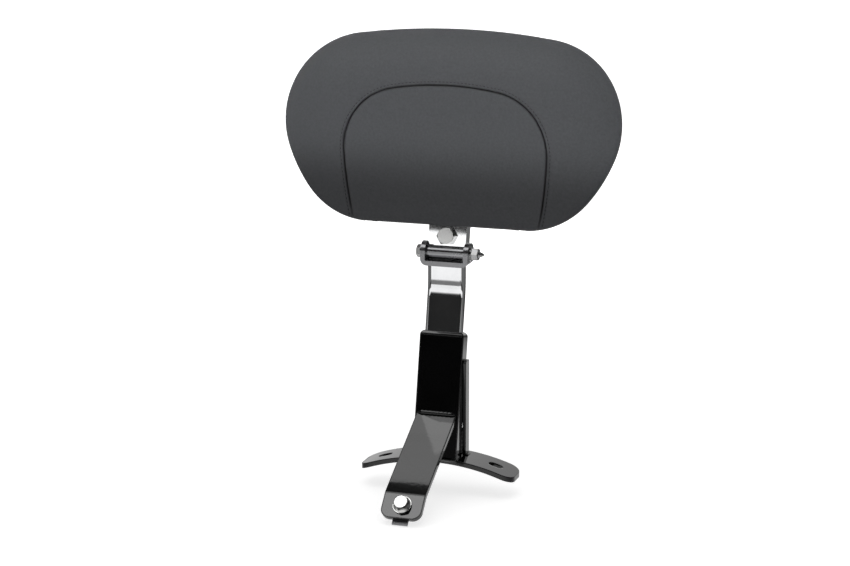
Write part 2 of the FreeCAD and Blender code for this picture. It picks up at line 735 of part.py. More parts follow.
def padOutline(inset):
    arcs = [("crownRadius", "crownSweep"), ("shoulderRadius", "shoulderSweep"),
            ("flankRadius", "flankSweep"), ("cornerRadius", "cornerSweep")]
    rest = 180 - sum(size(sweep) for radius, sweep in arcs)
    full = arcChain(Vector(0, 0, size("padTop")), [(size(r), size(s)) for r, s in arcs])
    bottomRadius = full[-1][2].x / math.sin(math.radians(rest))
    shrunk = [(size(r) - inset, size(s)) for r, s in arcs] + [(bottomRadius - inset, rest)]
    chain = arcChain(Vector(0, 0, size("padTop") - inset), shrunk)
    return Part.Wire([Part.Arc(*arc).toShape() for arc in chain + mirrored(chain)])


# The cushion's face stands nearly upright while its back leans, so it is thickest towards the top
def padSection(inset, forward):
    wire = padOutline(inset)
    share = (forward - size("rimFull")) / (size("faceHeight") - size("rimFull"))
    tilt = size("faceTilt") * max(share, 0)
    wire.Placement = Placement(Vector(0, -forward, 0), Rotation(alongX, tilt))
    return wire


def archBand(depth):
    # The band that the seam follows, run straight through the pad
    arcs = [("archRadius", "archSweep"), ("archShoulder", "archShoulderSweep"), ("archFlank", "archFlankSweep")]
    halfBand = size("seamWidth") / 2
    outer = arcChain(Vector(0, 0, size("archTop") + halfBand), [(size(r) + halfBand, size(s)) for r, s in arcs])
    inner = arcChain(Vector(0, 0, size("archTop") - halfBand), [(size(r) - halfBand, size(s)) for r, s in arcs])
    edges = [Part.Arc(*arc).toShape() for arc in mirrored(outer) + outer]
    edges.append(Part.LineSegment(outer[-1][2], inner[-1][2]).toShape())
    back = [tuple(reversed(arc)) for arc in reversed(mirrored(inner) + inner)]
    edges += [Part.Arc(*arc).toShape() for arc in back]
    edges.append(Part.LineSegment(back[-1][2], mirrored(outer)[0][0]).toShape())
    return Part.Face(Part.Wire(edges)).extrude(Vector(0, -depth, 0))


def padPieces():
    place = Placement(pin + alongLean * size("padCentre") + behindLean * barFront, leanTurn)
    sections = [padSection(size("backRound"), 0), padSection(0, size("rimStart")), padSection(0, size("rimFull"))]
    for level in ("edge", "slope", "crest", "face"):
        sections.append(padSection(size(f"{level}Inset"), size(f"{level}Height")))
    dome = Part.makeLoft(sections, True, False)
    behind = dome.copy()
    behind.translate(Vector(0, size("seamDepth"), 0))
    band = archBand(2 * size("faceHeight"))
    groove = band.common(dome).cut(behind)
    cushion = dome.cut(groove)
    panFace = Part.Face(padOutline(size("panInset")))
    pan = panFace.extrude(Vector(0, -size("panThickness"), 0))
    cushion = cushion.cut(pan)
    inserts = []
    shafts = []
    screws = []
    for side in (-1, 1):
        for rise in (size("screwLow"), size("screwHigh")):
            spot = Vector(side * size("screwSpacing") / 2, 0, rise - size("padCentre"))
            front = spot - alongY * size("panThickness")
            pocket = Part.makeCylinder(size("insertDiameter") / 2, size("insertLength"), front, alongY * -1)
            shaft = Part.makeCylinder(size("screwThread") / 2, 3 * size("plateThickness"),
                                      front - alongY * size("insertLength"), alongY)
            inserts.append(pocket.cut(shaft))
            cushion = cushion.cut(pocket)
            shafts.append(Part.makeCylinder(size("screwThread") / 2 + size("clampPlay"),
                                            size("panThickness"), spot, alongY * -1))
            back = spot + alongY * size("plateThickness")
            length = size("plateThickness") + size("panThickness") + size("insertLength")
            stem = Part.makeCylinder(size("screwThread") / 2, length, back, alongY * -1)
            button = Part.makeCone(size("screwHead") / 2, size("screwHead") / 3, size("screwHeadHeight"),
                                   back, alongY)
            screws.append(stem.fuse(button))
    for shaft in shafts:
        pan = pan.cut(shaft)
    keep("pad_cushion", shapeFeature("PadCushion", cushion, place))
    keep("pad_shell", shapeFeature("PadShell", pan, place))
    keep("shell_inserts", shapeFeature("ShellInserts", Part.makeCompound(inserts), place))
    keep("shell_screws", shapeFeature("ShellScrews", Part.makeCompound(screws), place))


baseStrap()
receiverTube()
sideBrace()
frontLeg()
footBolt()
clipNut()
postBar()
hingeSaddle()
hingePin()
yokePlate()
heightBar()
clampBolt()
padPieces()
doc.recompute()

for item in doc.Objects:
    if "Invalid" in item.State or "Error" in item.State:
        raise RuntimeError(f"{item.Name} did not build: {item.State}")
for node, item in pieces.items():
    shape = item.Shape
    if shape.isNull() or not shape.isValid() or shape.Volume <= 0:
        raise RuntimeError(f"{node} is not a valid solid")
for node, item in pieces.items():
    item.Shape.exportStep(f"parts/{node}.step")
    print(node, len(item.Shape.Solids), "solids", round(item.Shape.Volume), "mm3")
print("pin", round(pin.x, 3), round(pin.y, 3), round(pin.z, 3))
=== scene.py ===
import json
import math
import bmesh
import bpy
from mathutils import Matrix, Vector
from mathutils.bvhtree import BVHTree


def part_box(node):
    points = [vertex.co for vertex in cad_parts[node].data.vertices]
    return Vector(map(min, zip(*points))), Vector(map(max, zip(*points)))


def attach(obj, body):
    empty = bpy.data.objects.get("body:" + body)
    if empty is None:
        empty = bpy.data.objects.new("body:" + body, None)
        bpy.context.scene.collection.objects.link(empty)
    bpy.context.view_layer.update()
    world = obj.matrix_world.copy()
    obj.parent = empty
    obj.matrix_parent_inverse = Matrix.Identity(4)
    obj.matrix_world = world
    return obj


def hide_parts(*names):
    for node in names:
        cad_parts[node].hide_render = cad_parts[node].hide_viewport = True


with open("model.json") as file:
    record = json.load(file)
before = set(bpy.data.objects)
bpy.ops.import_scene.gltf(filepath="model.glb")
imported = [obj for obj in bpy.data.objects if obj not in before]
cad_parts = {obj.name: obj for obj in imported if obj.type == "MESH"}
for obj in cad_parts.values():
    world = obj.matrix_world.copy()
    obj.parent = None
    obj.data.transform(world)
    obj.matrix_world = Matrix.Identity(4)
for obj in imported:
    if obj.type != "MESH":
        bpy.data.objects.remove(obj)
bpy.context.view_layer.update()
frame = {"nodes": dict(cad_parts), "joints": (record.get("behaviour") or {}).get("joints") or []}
nodes = frame["nodes"]
joints = {joint["name"]: joint for joint in frame["joints"]}
pinCentre = Vector(joints["pad_fold"]["pos_m"])
leanAxis = Vector(joints["pad_height"]["axis"])
leanAngle = math.atan2(leanAxis.y, leanAxis.z)
print("frame loaded:", len(nodes), "nodes")

cameraSettings = {
    "place": (0.7042, -2.2156, 0.7168),
    "target": (-0.01842, 0.00846, 0.17692),
    "lens": 105.0,
    "sensor": 36.0,
}


def makeCamera(settings):
    data = bpy.data.cameras.new("camera")
    data.lens = settings["lens"]
    data.sensor_width = settings["sensor"]
    data.sensor_fit = "HORIZONTAL"
    data.clip_start = 0.05
    camera = bpy.data.objects.new("camera", data)
    bpy.context.scene.collection.objects.link(camera)
    look = Vector(settings["target"]) - Vector(settings["place"])
    camera.location = settings["place"]
    camera.rotation_euler = look.to_track_quat("-Z", "Y").to_euler()
    bpy.context.scene.camera = camera


makeCamera(cameraSettings)
scene = bpy.context.scene
scene.view_settings.view_transform = "Standard"


# Materials: small helpers that lay out nodes, then a function for each kind of finish
def startMaterial(name):
    material = bpy.data.materials.new(name)
    material.use_nodes = True
    tree = material.node_tree
    shader = tree.nodes["Principled BSDF"]
    place = tree.nodes.new("ShaderNodeTexCoord")
    return material, tree, shader, place


def addNoise(tree, place, scale, detail=3.0, rough=0.5):
    noise = tree.nodes.new("ShaderNodeTexNoise")
    noise.inputs["Scale"].default_value = scale
    noise.inputs["Detail"].default_value = detail
    noise.inputs["Roughness"].default_value = rough
    tree.links.new(place.outputs["Object"], noise.inputs["Vector"])
    return noise


def addRamp(tree, source, stops):
    ramp = tree.nodes.new("ShaderNodeValToRGB")
    while len(ramp.color_ramp.elements) < len(stops):
        ramp.color_ramp.elements.new(0.5)
    for element, (position, colour) in zip(ramp.color_ramp.elements, stops):
        element.position = position
        element.color = (*colour, 1.0) if len(colour) == 3 else colour
    tree.links.new(source, ramp.inputs["Fac"])
    return ramp


def addRange(tree, source, low, high):
    spread = tree.nodes.new("ShaderNodeMapRange")
    spread.inputs["To Min"].default_value = low
    spread.inputs["To Max"].default_value = high
    tree.links.new(source, spread.inputs["Value"])
    return spread


def addBump(tree, shader, height, strength, distance, below=None):
    bump = tree.nodes.new("ShaderNodeBump")
    bump.inputs["Strength"].default_value = strength
    bump.inputs["Distance"].default_value = distance
    tree.links.new(height, bump.inputs["Height"])
    if below:
        tree.links.new(below.outputs["Normal"], bump.inputs["Normal"])
    tree.links.new(bump.outputs["Normal"], shader.inputs["Normal"])
    return bump


vinylSettings = {
    "dark": (0.050, 0.052, 0.056), "light": (0.066, 0.068, 0.073), "mottle": 420.0,
    # colour of the painted shade in the seam's groove, mixed in where the seam attribute says
    "seamShadeColour": (0.006, 0.006, 0.007),
    "grain": 1500.0, "grainDepth": 0.00012, "wearSize": 12.0, "roughness": 0.62, "wear": 0.06,
}


def vinylMaterial(settings):
    material, tree, shader, place = startMaterial("charcoalVinyl")
    cloudy = addNoise(tree, place, settings["mottle"], 4.0, 0.7)
    ramp = addRamp(tree, cloudy.outputs["Fac"], [(0.3, settings["dark"]), (0.7, settings["light"])])
    # painted shade: the colour darkens along the sewn seam's groove, as far as the vertex attribute reaches
    seamShade = tree.nodes.new("ShaderNodeAttribute")
    seamShade.attribute_name = "seamShade"
    mix = tree.nodes.new("ShaderNodeMix")
    mix.data_type = "RGBA"
    mix.inputs["B"].default_value = (*settings["seamShadeColour"], 1.0)
    tree.links.new(seamShade.outputs["Fac"], mix.inputs["Factor"])
    tree.links.new(ramp.outputs["Color"], mix.inputs["A"])
    tree.links.new(mix.outputs["Result"], shader.inputs["Base Color"])
    cells = tree.nodes.new("ShaderNodeTexVoronoi")
    cells.feature = "SMOOTH_F1"
    cells.inputs["Scale"].default_value = settings["grain"]
    tree.links.new(place.outputs["Object"], cells.inputs["Vector"])
    fine = addNoise(tree, place, settings["grain"] * 1.6, 2.0)
    soft = addBump(tree, shader, fine.outputs["Fac"], 0.25, settings["grainDepth"])
    addBump(tree, shader, cells.outputs["Distance"], 0.5, settings["grainDepth"], soft)
    broad = addNoise(tree, place, settings["wearSize"], 3.0)
    middle, wide = settings["roughness"], settings["wear"]
    wear = addRange(tree, broad.outputs["Fac"], middle - wide, middle + wide)
    tree.links.new(wear.outputs["Result"], shader.inputs["Roughness"])
    shader.inputs["Specular IOR Level"].default_value = 0.35
    shader.inputs["Sheen Weight"].default_value = 0.12
    shader.inputs["Sheen Roughness"].default_value = 0.5
    return material


def threadMaterial():
    material, tree, shader, place = startMaterial("blackThread")
    twist = addNoise(tree, place, 5200.0, 1.0)
    ramp = addRamp(tree, twist.outputs["Fac"], [(0.3, (0.004, 0.004, 0.005)), (0.7, (0.014, 0.014, 0.016))])
    tree.links.new(ramp.outputs["Color"], shader.inputs["Base Color"])
    addBump(tree, shader, twist.outputs["Fac"], 0.4, 0.0001)
    shader.inputs["Roughness"].default_value = 0.62
    return material


paintSettings = {
    "dark": (0.0009, 0.0010, 0.0010), "light": (0.0022, 0.0022, 0.0024), "mottle": 22.0,
    "ripple": 240.0, "smoothest": 0.035, "roughest": 0.085, "softEdge": 0.0016,
}


def paintMaterial(settings):
    material, tree, shader, place = startMaterial("glossBlackPaint")
    cloudy = addNoise(tree, place, settings["mottle"], 2.0)
    ramp = addRamp(tree, cloudy.outputs["Fac"], [(0.35, settings["dark"]), (0.65, settings["light"])])
    tree.links.new(ramp.outputs["Color"], shader.inputs["Base Color"])
    ripple = addNoise(tree, place, settings["ripple"], 1.0)
    edge = tree.nodes.new("ShaderNodeBevel")
    edge.samples = 6
    edge.inputs["Radius"].default_value = settings["softEdge"]
    addBump(tree, shader, ripple.outputs["Fac"], 0.05, 0.0003, edge)
    handling = addRange(tree, cloudy.outputs["Fac"], settings["smoothest"], settings["roughest"])
    tree.links.new(handling.outputs["Result"], shader.inputs["Roughness"])
    shader.inputs["IOR"].default_value = 1.52
    return material


def metalMaterial(name, colour, roughness, spread, waviness, scratch=0.0, stretch=(1, 1, 1)):
    material, tree, shader, place = startMaterial(name)
    shader.inputs["Metallic"].default_value = 1.0
    cloudy = addNoise(tree, place, 60.0, 3.0)
    darker = tuple(value * 0.93 for value in colour)
    ramp = addRamp(tree, cloudy.outputs["Fac"], [(0.35, darker), (0.65, colour)])
    tree.links.new(ramp.outputs["Color"], shader.inputs["Base Color"])
    wear = addRange(tree, cloudy.outputs["Fac"], max(roughness - spread, 0.01), roughness + spread)
    tree.links.new(wear.outputs["Result"], shader.inputs["Roughness"])
    gentle = addNoise(tree, place, 45.0, 1.0)
    under = addBump(tree, shader, gentle.outputs["Fac"], waviness, 0.0004)
    if scratch:
        turn = tree.nodes.new("ShaderNodeMapping")
        turn.inputs["Scale"].default_value = stretch
        tree.links.new(place.outputs["Object"], turn.inputs["Vector"])
        lines = addNoise(tree, place, 900.0, 2.0)
        tree.links.new(turn.outputs["Vector"], lines.inputs["Vector"])
        addBump(tree, shader, lines.outputs["Fac"], scratch, 0.0001, under)
    return material


def plasticMaterial(name, colour, roughness, grain, depth):
    material, tree, shader, place = startMaterial(name)
    cloudy = addNoise(tree, place, 30.0, 2.0)
    lighter = tuple(value * 1.35 for value in colour)
    ramp = addRamp(tree, cloudy.outputs["Fac"], [(0.3, colour), (0.7, lighter)])
    tree.links.new(ramp.outputs["Color"], shader.inputs["Base Color"])
    pebbles = tree.nodes.new("ShaderNodeTexVoronoi")
    pebbles.inputs["Scale"].default_value = grain
    tree.links.new(place.outputs["Object"], pebbles.inputs["Vector"])
    addBump(tree, shader, pebbles.outputs["Distance"], 0.5, depth)
    shader.inputs["Roughness"].default_value = roughness
    return material


finishes = {
    "vinyl": vinylMaterial(vinylSettings),
    "thread": threadMaterial(),
    "paint": paintMaterial(paintSettings),
    "chrome": metalMaterial("mirrorChrome", (0.90, 0.905, 0.915),
                            roughness=0.045, spread=0.015, waviness=0.03),
    "satin": metalMaterial("satinChrome", (0.35, 0.35, 0.36),
                           roughness=0.26, spread=0.06, waviness=0.10, scratch=0.15, stretch=(1.0, 0.1, 0.1)),
    "zinc": metalMaterial("zincPlate", (0.62, 0.62, 0.61),
                          roughness=0.24, spread=0.08, waviness=0.12, scratch=0.2),
    "bright": metalMaterial("brightZinc", (0.86, 0.86, 0.85),
                            roughness=0.22, spread=0.05, waviness=0.08, scratch=0.15),
    "steel": metalMaterial("dullZinc", (0.42, 0.42, 0.42),
                           roughness=0.24, spread=0.06, waviness=0.10, scratch=0.15),
    "oxide": metalMaterial("blackOxide", (0.26, 0.26, 0.27),
                           roughness=0.42, spread=0.06, waviness=0.10, scratch=0.15),
    "nylon": plasticMaterial("blackNylon", (0.02, 0.02, 0.02), roughness=0.45, grain=900.0, depth=0.0001),
    "shell": plasticMaterial("grainedShell", (0.016, 0.016, 0.018), roughness=0.55, grain=700.0, depth=0.00025),
}
nodeFinish = {
    "base_strap": "paint", "receiver_tube": "paint", "side_brace": "paint", "front_leg": "paint",
    "post_bar": "chrome", "hinge_barrel": "satin", "yoke_plate": "chrome", "height_bar": "chrome",
    "hinge_saddle": "satin", "clamp_bolt": "bright",
    "foot_bolt": "zinc", "clip_nut": "oxide", "pivot_bolt": "steel", "pivot_washers": "steel",
    "pivot_lock_nut": "steel", "clamp_washer": "zinc", "clamp_nut": "zinc",
    "shell_screws": "zinc", "shell_inserts": "zinc",
    "pivot_bushes": "nylon", "pad_shell": "shell",
}
for node, finish in nodeFinish.items():
    data = nodes[node].data
    data.materials.clear()
    data.materials.append(finishes[finish])
print("finishes given to the CAD nodes")


def addPiece(name, bm, finish, body):
    data = bpy.data.meshes.new(name)
    bm.to_mesh(data)
    bm.free()
    data.shade_smooth()
    data.materials.append(finishes[finish])
    piece = bpy.data.objects.new(name, data)
    bpy.context.scene.collection.objects.link(piece)
    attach(piece, body)
    return piece


padSettings = {
    "centre": 0.1305, "back": 0.0023, "top": 0.085,
    "arcs": [(0.6766, 8.29), (0.0834, 102.7), (0.1533, 17.4), (0.0790, 51.6)],
    "around": 300, "between": 4,
    # inset from the outline, distance in front of the back, tilt of the ring
    "rings": [(0.0030, 0.0004, 0.0), (0.0006, 0.0040, 0.0), (0.0006, 0.0095, 0.0), (0.0095, 0.0168, 3.2),
              (0.0240, 0.0242, 6.5), (0.0420, 0.0300, 9.1), (0.0600, 0.0332, 10.6)],
    "voxel": 0.0042, "smoothings": 4, "wrap": 0.006, "wrapAt": 0.17,
    # the filling: pressure on a cloth, how far it may move a point, how wide the seam holds it back
    "pressure": 4.0, "frames": 20, "swell": 0.0028, "heldWidth": 0.009, "heldShare": 0.9,
    # the face begins this far in front of the back, and the rim keeps its drawn form behind it
    "faceFrom": 0.012, "rimTo": 0.006, "settleFrom": 0.016, "settleTo": 0.010,
    "archTop": 0.0287, "archArcs": [(0.300, 10.0), (0.060, 82.3), (0.380, 20.0)],
    # the first width is that of the painted shade along the seam groove, then the groove's own width, depth and
    # reach
    "seamShadeWidth": 0.0010, "seamWidth": 0.0009, "seamDepth": 0.0015, "seamReach": 0.012,
    "seamFrom": 0.008, "seamTo": 0.014, "refine": (0.010, 0.006, 0.0035), "refineFrom": 0.010,
    "weltPlace": 0.0017, "weltWidth": 0.0011, "weltHeight": 0.0004,
    "stitchOffset": 0.0032, "stitchPitch": 0.0037, "stitchLength": 0.0025, "stitchRadius": 0.00042,
    "stitchFacing": 0.25, "pullDepth": 0.0003, "pullWidth": 0.0007,
}
padFrame = (Matrix.Translation(pinCentre)
            @ Matrix.Rotation(-leanAngle, 4, "X")
            @ Matrix.Translation(Vector((0, -padSettings["back"], padSettings["centre"]))))


def arcRun(top, arcs, inset=0.0):
    # Tangent arcs from the top centre round the right side, as (centre, radius, from, to)
    point = Vector((0.0, top - inset))
    heading = 0.0
    run = []
    for radius, sweep in arcs:
        radius -= inset
        centre = point - Vector((math.sin(heading), math.cos(heading))) * radius
        finish = heading + math.radians(sweep)
        run.append((centre, radius, heading, finish))
        point = centre + Vector((math.sin(finish), math.cos(finish))) * radius
        heading = finish
    return run


def runPoint(run, distance):
    for centre, radius, begin, finish in run:
        length = radius * (finish - begin)
        if distance <= length or (centre, radius, begin, finish) == run[-1]:
            angle = begin + distance / radius
            return centre + Vector((math.sin(angle), math.cos(angle))) * radius
        distance -= length


def runLength(run):
    return sum(radius * (finish - begin) for centre, radius, begin, finish in run)


def padRun(settings, inset):
    rest = 180.0 - sum(sweep for radius, sweep in settings["arcs"])
    drawn = arcRun(settings["top"], settings["arcs"])
    centre, radius, begin, finish = drawn[-1]
    end = centre + Vector((math.sin(finish), math.cos(finish))) * radius
    bottomRadius = end.x / math.sin(math.radians(rest))
    return arcRun(settings["top"], settings["arcs"] + [(bottomRadius, rest)], inset)


def outlinePoint(settings, share, inset):
    # share runs from 0 at the top centre clockwise round to 1
    whole = padRun(settings, 0.0)
    run = padRun(settings, inset)
    side = 1 if share <= 0.5 else -1
    along = (share if share <= 0.5 else 1.0 - share) * 2.0 * runLength(whole)
    for (centre, radius, begin, finish), inner in zip(whole, run):
        length = radius * (finish - begin)
        if along <= length + 1e-9 or inner is run[-1]:
            angle = begin + along / radius
            point = inner[0] + Vector((math.sin(angle), math.cos(angle))) * inner[1]
            return Vector((side * point.x, 0.0, point.y))
        along -= length


def placeRing(verts, layer, settings, inset, forward, tilt):
    turn = Matrix.Rotation(math.radians(tilt), 4, "X")
    for vert in verts:
        vert.co = turn @ outlinePoint(settings, vert[layer], inset) + Vector((0, -forward, 0))


def softRings(rings, between):
    # The given rings with more laid smoothly between them
    result = []
    for index in range(len(rings) - 1):
        before, start, end, after = (Vector(rings[min(max(index + step, 0), len(rings) - 1)])
                                     for step in (-1, 0, 1, 2))
        for step in range(between):
            t = step / between
            move = (end - before) * (t / 2)
            bend = (before * 2 - start * 5 + end * 4 - after) * (t * t / 2)
            twist = (start * 3 - before - end * 3 + after) * (t ** 3 / 2)
            result.append(start + move + bend + twist)
    return result + [Vector(rings[-1])]


def coverBody(settings):
    rings = softRings(settings["rings"], settings["between"])
    bm = bmesh.new()
    layer = bm.verts.layers.float.new("around")
    bmesh.ops.create_circle(bm, segments=settings["around"], radius=0.1)
    bm.verts.ensure_lookup_table()
    for index, vert in enumerate(bm.verts):
        vert[layer] = index / settings["around"]
    placeRing(bm.verts, layer, settings, *rings[0])
    edges = bm.edges[:]
    bmesh.ops.contextual_create(bm, geom=edges)
    for ring in rings[1:]:
        made = bmesh.ops.extrude_edge_only(bm, edges=edges)["geom"]
        edges = [item for item in made if isinstance(item, bmesh.types.BMEdge)]
        placeRing([item for item in made if isinstance(item, bmesh.types.BMVert)], layer, settings, *ring)
    bmesh.ops.contextual_create(bm, geom=edges)
    bmesh.ops.triangulate(bm, faces=[face for face in bm.faces if len(face.verts) > 4])
    bmesh.ops.recalc_face_normals(bm, faces=bm.faces)
    return bm


def wrapForward(bm, settings):
    # The pad's ends reach a little forward round the rider's back
    for vert in bm.verts:
        vert.co.y -= settings["wrap"] * (vert.co.x / settings["wrapAt"]) ** 2


def archDistance(settings, u, v):
    # Signed distance to the sewn arch, positive on the outer side
    point = Vector((abs(u), v))
    best = None
    for centre, radius, begin, finish in arcRun(settings["archTop"], settings["archArcs"]):
        away = point - centre
        angle = min(max(math.atan2(away.x, away.y), begin), finish)
        foot = centre + Vector((math.sin(angle), math.cos(angle))) * radius
        gap = (point - foot).length
        if best is None or gap < abs(best):
            best = math.copysign(gap, away.length - radius)
    return best


def smoothStep(low, high, value):
    share = min(max((value - low) / (high - low), 0.0), 1.0)
    return share * share * (3.0 - 2.0 * share)


def swellCover(piece, settings):
    # Cloth pressure fills both panels, held back along the seam and at the rim
    group = piece.vertex_groups.new(name="held")
    home = []
    for vert in piece.data.vertices:
        home.append(vert.co.copy())
        gap = abs(archDistance(settings, vert.co.x, vert.co.z))
        onFace = vert.co.y < -settings["faceFrom"]
        seam = 1.0 - smoothStep(0.0, settings["heldWidth"], gap) if onFace else 0.0
        back = smoothStep(-settings["faceFrom"], -settings["rimTo"], vert.co.y)
        group.add([vert.index], max(seam * settings["heldShare"], back), "REPLACE")
    cloth = piece.modifiers.new("fill", "CLOTH")
    cloth.settings.quality = 6
    cloth.settings.mass = 0.2
    cloth.settings.tension_stiffness = 25
    cloth.settings.compression_stiffness = 25
    cloth.settings.shear_stiffness = 12
    cloth.settings.bending_stiffness = 6
    cloth.settings.use_pressure = True
    cloth.settings.uniform_pressure_force = settings["pressure"]
    cloth.settings.vertex_group_mass = "held"
    cloth.settings.effector_weights.gravity = 0.0
    cloth.point_cache.frame_start = 1
    cloth.point_cache.frame_end = settings["frames"]
    for number in range(1, settings["frames"] + 1):
        scene.frame_set(number)
    graph = bpy.context.evaluated_depsgraph_get()
    moved = piece.evaluated_get(graph).to_mesh()
    places = [vert.co.copy() for vert in moved.vertices]
    piece.evaluated_get(graph).to_mesh_clear()
    piece.modifiers.remove(cloth)
    piece.vertex_groups.clear()
    largest = 0.0
    for vert, start, end in zip(piece.data.vertices, home, places):
        step = end - start
        largest = max(largest, step.length)
        if step.length > settings["swell"]:
            step *= settings["swell"] / step.length
        vert.co = start + step
    scene.frame_set(1)
    print("cover filled, largest free move", round(largest * 1000, 1), "mm")


def seamProfile(settings, gap):
    # Groove where the panels meet, the folded edge of the outer panel and the pull of its topstitch
    groove = settings["seamDepth"] * math.exp(-(gap / settings["seamWidth"]) ** 2)
    welt = settings["weltHeight"] * math.exp(-((gap - settings["weltPlace"]) / settings["weltWidth"]) ** 2)
    fromStitch = (gap - settings["stitchOffset"]) / settings["pullWidth"]
    pull = settings["pullDepth"] * math.exp(-fromStitch ** 2)
    return groove - welt + pull


def refineSeam(bm, settings):
    # Faces beside the seam are divided until they can hold its groove
    for width in settings["refine"]:
        near = set()
        for face in bm.faces:
            middle = face.calc_center_median()
            gap = abs(archDistance(settings, middle.x, middle.z))
            if middle.y < -settings["refineFrom"] and gap < width:
                near.update(face.edges)
        bmesh.ops.subdivide_edges(bm, edges=list(near), cuts=1, use_grid_fill=True, smooth=0.0)


def carveSeam(bm, settings):
    bm.normal_update()
    seamShade = bm.verts.layers.float.new("seamShade")
    for vert in bm.verts:
        if vert.co.y > -settings["seamFrom"]:
            continue
        gap = archDistance(settings, vert.co.x, vert.co.z)
        if abs(gap) < settings["seamReach"]:
            lip = smoothStep(-settings["seamFrom"], -settings["seamTo"], vert.co.y)
            # the attribute holds the painted shade for the groove's colour, strongest at the groove's centre
            vert[seamShade] = lip * math.exp(-(gap / settings["seamShadeWidth"]) ** 4)
            vert.co -= vert.normal * seamProfile(settings, gap) * lip


def settleOn(bm, tree, settings, everywhere):
    # Remeshing leaves small steps, so points go back on the drawn form, the rim after the filling too
    for vert in bm.verts:
        rim = smoothStep(-settings["settleFrom"], -settings["settleTo"], vert.co.y)
        share = 1.0 if everywhere else rim
        if share > 0.0:
            nearest = tree.find_nearest(vert.co)[0]
            vert.co = vert.co.lerp(nearest, share)


def remeshed(bm, settings):
    data = bpy.data.meshes.new("coverShape")
    bm.to_mesh(data)
    shape = bpy.data.objects.new("coverShape", data)
    scene.collection.objects.link(shape)
    remesh = shape.modifiers.new("even", "REMESH")
    remesh.mode = "VOXEL"
    remesh.voxel_size = settings["voxel"]
    graph = bpy.context.evaluated_depsgraph_get()
    even = bpy.data.meshes.new_from_object(shape.evaluated_get(graph))
    shape.modifiers.clear()
    shape.data = even
    return shape


def makeCover(settings):
    drawn = coverBody(settings)
    form = BVHTree.FromBMesh(drawn)
    shape = remeshed(drawn, settings)
    drawn.free()
    bm = bmesh.new()
    bm.from_mesh(shape.data)
    settleOn(bm, form, settings, True)
    bm.to_mesh(shape.data)
    bm.free()
    swellCover(shape, settings)
    bm = bmesh.new()
    bm.from_mesh(shape.data)
    for again in range(settings["smoothings"]):
        bmesh.ops.smooth_vert(bm, verts=bm.verts, factor=0.5,
                              use_axis_x=True, use_axis_y=True, use_axis_z=True)
    bm.to_mesh(shape.data)
    bm.free()
    finer = shape.modifiers.new("finer", "SUBSURF")
    finer.levels = 1
    finer.render_levels = 1
    graph = bpy.context.evaluated_depsgraph_get()
    fine = bpy.data.meshes.new_from_object(shape.evaluated_get(graph))
    bpy.data.objects.remove(shape)
    bm = bmesh.new()
    bm.from_mesh(fine)
    settleOn(bm, form, settings, False)
    bmesh.ops.recalc_face_normals(bm, faces=bm.faces)
    refineSeam(bm, settings)
    carveSeam(bm, settings)
    surface = BVHTree.FromBMesh(bm)
    wrapForward(bm, settings)
    cover = addPiece("padCover", bm, "vinyl", "pad")
    cover.data.transform(padFrame)
    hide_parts("pad_cushion")
    return cover, surface


padCover, padSurface = makeCover(padSettings)
print("pad cover made:", len(padCover.data.polygons), "faces")


def makeStitches(settings, surface):
    # One short thread loop after another beside the seam, laid on the cover
    run = arcRun(settings["archTop"], settings["archArcs"], -settings["stitchOffset"])
    total = runLength(run)
    bm = bmesh.new()
    for side in (-1, 1):
        distance = settings["stitchPitch"] / 2
        while distance < total:
            ends = []
            for reach in (-0.5, 0.0, 0.5):
                point = runPoint(run, max(distance + reach * settings["stitchLength"], 0.0))
                start = Vector((side * point.x, -0.2, point.y))
                ends.append(surface.ray_cast(start, Vector((0, 1, 0)))[:2])
            distance += settings["stitchPitch"]
            if any(hit is None for hit, normal in ends):
                continue
            first, middle, last = (hit for hit, normal in ends)
            normal = ends[1][1]
            if normal.y > -settings["stitchFacing"]:
                continue
            along = (last - first).normalized()
            across = normal.cross(along).normalized()
            up = along.cross(across).normalized()
            turn = Matrix((along, across, up)).transposed().to_4x4()
            radius = settings["stitchRadius"]
            size = Matrix.Diagonal((settings["stitchLength"] / 2, radius, radius * 0.8, 1.0))
            place = Matrix.Translation(middle + normal * radius * 0.25)
            bmesh.ops.create_uvsphere(bm, u_segments=8, v_segments=6, radius=1.0,
                                      matrix=place @ turn @ size)
    wrapForward(bm, settings)
    bm.transform(padFrame)
    bmesh.ops.recalc_face_normals(bm, faces=bm.faces)
    addPiece("padStitches", bm, "thread", "pad")


makeStitches(padSettings, padSurface)
print("stitches laid")


shellSettings = {
    # inset from the pad's outline and distance in front of its back, from the hidden front to the rear
    "rings": [(0.0092, 0.0030, 0.0), (0.0092, 0.0008, 0.0), (0.0096, 0.0003, 0.0), (0.0104, 0.0, 0.0)],
    "around": 200, "cuts": 12, "halfWidth": 0.165, "sharp": 50.0, "capDepth": 0.0001,
}


def makeShell(settings):
    # The two caps become single faces, cut across so that they can follow the pad's forward wrap
    bm = coverBody({**padSettings, "rings": settings["rings"], "between": 1, "around": settings["around"]})
    for ring in (settings["rings"][0], settings["rings"][-1]):
        cap = []
        for face in bm.faces:
            depth = abs(face.calc_center_median().y + ring[1])
            if abs(face.normal.y) > 0.9 and depth < settings["capDepth"]:
                cap.append(face)
        bmesh.ops.dissolve_faces(bm, faces=cap)
    for step in range(-settings["cuts"], settings["cuts"] + 1):
        everything = bm.verts[:] + bm.edges[:] + bm.faces[:]
        place = (step * settings["halfWidth"] / settings["cuts"], 0, 0)
        bmesh.ops.bisect_plane(bm, geom=everything, plane_co=place, plane_no=(1, 0, 0))
    bmesh.ops.recalc_face_normals(bm, faces=bm.faces)
    wrapForward(bm, padSettings)
    shell = addPiece("padShell", bm, "shell", "pad")
    shell.data.set_sharp_from_angle(angle=math.radians(settings["sharp"]))
    shell.data.transform(padFrame)
    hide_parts("pad_shell")


makeShell(shellSettings)
print("back shell made")


